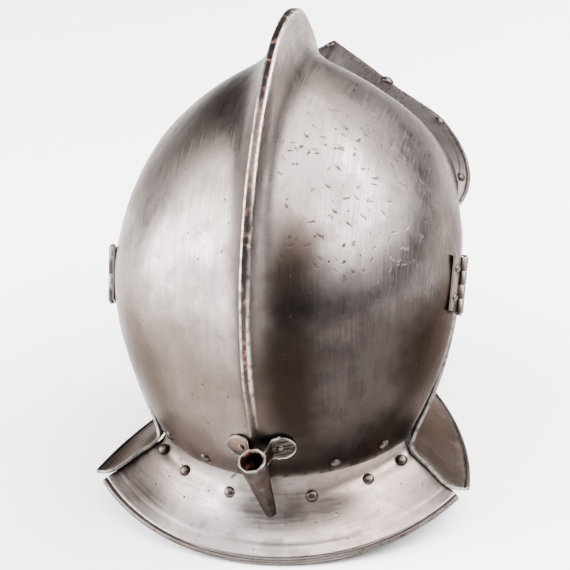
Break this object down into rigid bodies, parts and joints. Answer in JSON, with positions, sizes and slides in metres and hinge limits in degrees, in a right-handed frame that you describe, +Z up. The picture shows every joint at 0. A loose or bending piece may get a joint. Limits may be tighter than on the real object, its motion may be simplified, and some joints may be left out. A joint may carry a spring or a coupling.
{
  "type": "burgonet helmet",
  "caption": "Open steel helmet with a high comb, pointed peak, flared neck plate, hinged cheek-pieces with flanges, and a tapering plume tube at the nape.",
  "frame": {"origin": "the point under the middle of the helmet's box, on the surface that its rims stand on", "axes": "+Z up, the face towards -Y, the wearer's left towards +X"},
  "size_m": [0.2266, 0.3131, 0.2855],
  "materials": {
    "skull_steel": "old polished steel, warm grey, finely scratched and pitted",
    "neck_plate_steel": "old polished steel, worn, with rust freckles",
    "cheek_steel": "old polished steel, worn, darker along its borders",
    "rivet_steel": "dark forged steel, worn bright on the crown",
    "hinge_steel": "old filed steel",
    "plume_holder_steel": "dark steel with file marks, rusty inside"
  },
  "bodies": {
    "helmet": {"ear_rivet_left_1": "rivet_steel", "ear_rivet_right_1": "rivet_steel", "hem_rivet_left_1": "rivet_steel", "hem_rivet_left_2": "rivet_steel", "hem_rivet_right_1": "rivet_steel", "hem_rivet_right_2": "rivet_steel", "hinge_pin_left": "hinge_steel", "hinge_pin_right": "hinge_steel", "hinge_skull_leaf_left": "hinge_steel", "hinge_skull_leaf_left_rivet_1": "hinge_steel", "hinge_skull_leaf_left_rivet_2": "hinge_steel", "hinge_skull_leaf_right": "hinge_steel", "hinge_skull_leaf_right_rivet_1": "hinge_steel", "hinge_skull_leaf_right_rivet_2": "hinge_steel", "neck_plate": "neck_plate_steel", "neck_rivet_left_1": "rivet_steel", "neck_rivet_left_2": "rivet_steel", "neck_rivet_left_3": "rivet_steel", "neck_rivet_right_1": "rivet_steel", "neck_rivet_right_2": "rivet_steel", "neck_rivet_right_3": "rivet_steel", "peak_rivet_left_2": "rivet_steel", "peak_rivet_left_3": "rivet_steel", "peak_rivet_left_4": "rivet_steel", "peak_rivet_middle": "rivet_steel", "peak_rivet_right_2": "rivet_steel", "peak_rivet_right_3": "rivet_steel", "peak_rivet_right_4": "rivet_steel", "plume_holder": "plume_holder_steel", "skull": "skull_steel"},
    "left_cheek": {"cheek_left": "cheek_steel", "flange_rivet_left_1": "rivet_steel", "hinge_cheek_leaf_left": "hinge_steel", "hinge_cheek_leaf_left_rivet_1": "hinge_steel", "hinge_cheek_leaf_left_rivet_2": "hinge_steel"},
    "right_cheek": {"cheek_right": "cheek_steel", "flange_rivet_right_1": "rivet_steel", "hinge_cheek_leaf_right": "hinge_steel", "hinge_cheek_leaf_right_rivet_1": "hinge_steel", "hinge_cheek_leaf_right_rivet_2": "hinge_steel"}
  },
  "joints": [
    {"name": "left_cheek_hinge", "type": "hinge", "parent": "helmet", "child": "left_cheek", "pos_m": [0.10532, 0.03851, 0.12849], "axis": [0.0499, -0.5993, 0.799], "range_deg": [0, 75]},
    {"name": "right_cheek_hinge", "type": "hinge", "parent": "helmet", "child": "right_cheek", "pos_m": [-0.10533, 0.03851, 0.12849], "axis": [0.0499, 0.5993, -0.799], "range_deg": [0, 75]}
  ]
}
